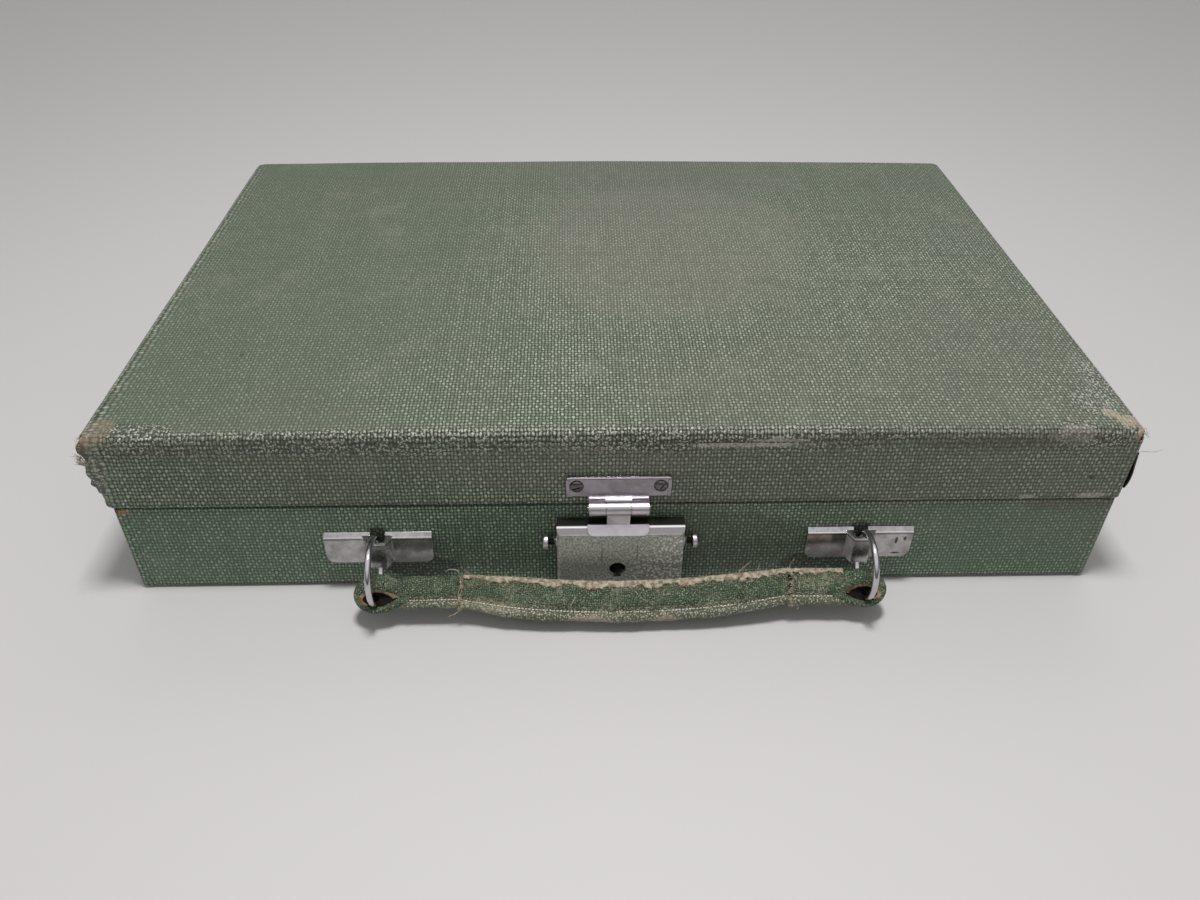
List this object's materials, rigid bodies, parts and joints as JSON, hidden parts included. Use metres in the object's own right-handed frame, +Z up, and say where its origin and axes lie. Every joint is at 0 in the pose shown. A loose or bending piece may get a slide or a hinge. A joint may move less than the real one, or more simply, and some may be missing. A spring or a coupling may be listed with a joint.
{
  "type": "vanity case",
  "caption": "Flat cloth-covered case with a hinged lid, sprung hasp lock, mirror inside the lid and a ring-hung carrying handle.",
  "frame": {"origin": "centre of the case's flat underside", "axes": "+X to the right along the front, +Y from the front to the hinges, +Z up"},
  "size_m": [0.331, 0.2496, 0.065],
  "materials": {
    "nickel": "dull nickel plate with small pits",
    "steel": "plated pressed steel",
    "case_board": "raw thin wood, dark red-brown",
    "collar_board": "thin card covered in lining cloth",
    "cover_cloth": "green-grey plain-weave book cloth, worn pale at edges",
    "lining_cloth": "plain beige lining cloth",
    "handle_cloth": "green cloth with stitched edge and frayed seam",
    "handle_core": "red-brown fibre core",
    "mirror": "silvered glass",
    "ribbon": "woven tape",
    "brass": "dull brass"
  },
  "bodies": {
    "base": {"base_bottom_board": "case_board", "base_front_wall": "case_board", "base_rear_wall": "case_board", "base_left_wall": "case_board", "base_right_wall": "case_board", "base_wall_cloth": "cover_cloth", "base_bottom_cloth": "cover_cloth", "base_floor_lining": "lining_cloth", "collar_front": "collar_board", "collar_rear": "collar_board", "collar_left": "collar_board", "collar_right": "collar_board", "lock_back_plate": "nickel", "lock_case": "nickel", "lock_rivets": "nickel", "key_post": "nickel", "handle_plate_left": "nickel", "handle_plate_right": "nickel", "handle_plate_rivets": "nickel", "hinge_base_leaf_left": "steel", "hinge_base_leaf_right": "steel", "hinge_base_screws": "steel", "hinge_pins": "steel", "stay_ribbon_left": "ribbon", "stay_ribbon_right": "ribbon", "ribbon_base_tacks": "brass", "button_spring_left": "steel", "button_spring_right": "steel"},
    "lid": {"lid_top_board": "case_board", "lid_front_wall": "case_board", "lid_rear_wall": "case_board", "lid_left_wall": "case_board", "lid_right_wall": "case_board", "lid_wall_cloth": "cover_cloth", "lid_top_cloth": "cover_cloth", "lid_lining_board": "lining_cloth", "lid_wall_lining": "lining_cloth", "mirror_glass": "mirror", "mirror_frame": "lining_cloth", "hasp_plate": "nickel", "hasp_plate_screws": "nickel", "hasp_pin": "nickel", "hinge_lid_leaf_left": "steel", "hinge_lid_leaf_right": "steel", "hinge_lid_screws": "steel", "ribbon_lid_tacks": "brass"},
    "hasp": {"hasp_flap": "nickel", "hasp_staple": "nickel"},
    "left_button": {"button_left": "nickel", "lock_bolt_left": "steel"},
    "right_button": {"button_right": "nickel", "lock_bolt_right": "steel"},
    "lever": {"lock_lever": "steel"},
    "left_ring": {"ring_left": "nickel"},
    "right_ring": {"ring_right": "nickel"},
    "handle": {"handle_core": "handle_core", "handle_grip_cover": "handle_cloth", "handle_end_left": "handle_cloth", "handle_end_right": "handle_cloth"}
  },
  "joints": [
    {"name": "lid_hinge", "type": "hinge", "parent": "base", "child": "lid", "pos_m": [0, 0.1131, 0.0365], "axis": [-1, 0, 0], "range_deg": [0, 100], "deforming": ["stay_ribbon_left", "stay_ribbon_right"]},
    {"name": "hasp_hinge", "type": "hinge", "parent": "lid", "child": "hasp", "pos_m": [-0.0011, -0.1131, 0.037], "axis": [-1, 0, 0], "range_deg": [0, 120]},
    {"name": "left_button_slide", "type": "slide", "parent": "base", "child": "left_button", "axis": [1, 0, 0], "range_m": [0, 0.0018], "stiffness_N_per_m": 300, "springref_m": -0.002, "deforming": ["button_spring_left"]},
    {"name": "right_button_slide", "type": "slide", "parent": "base", "child": "right_button", "axis": [-1, 0, 0], "range_m": [0, 0.0018], "stiffness_N_per_m": 300, "springref_m": -0.002, "deforming": ["button_spring_right"]},
    {"name": "lever_turn", "type": "hinge", "parent": "base", "child": "lever", "pos_m": [-0.0011, -0.1125, 0.0123], "axis": [0, -1, 0], "range_deg": [-60, 0]},
    {"name": "left_ring_turn", "type": "hinge", "parent": "base", "child": "left_ring", "pos_m": [-0.081, -0.1222, 0.019], "axis": [1, 0, 0], "continuous": true},
    {"name": "right_ring_turn", "type": "hinge", "parent": "base", "child": "right_ring", "pos_m": [0.081, -0.1222, 0.019], "axis": [1, 0, 0], "continuous": true},
    {"name": "handle_swing", "type": "hinge", "parent": "base", "child": "handle", "pos_m": [0, -0.1222, 0.019], "axis": [-1, 0, 0], "range_deg": [0, 120]}
  ]
}
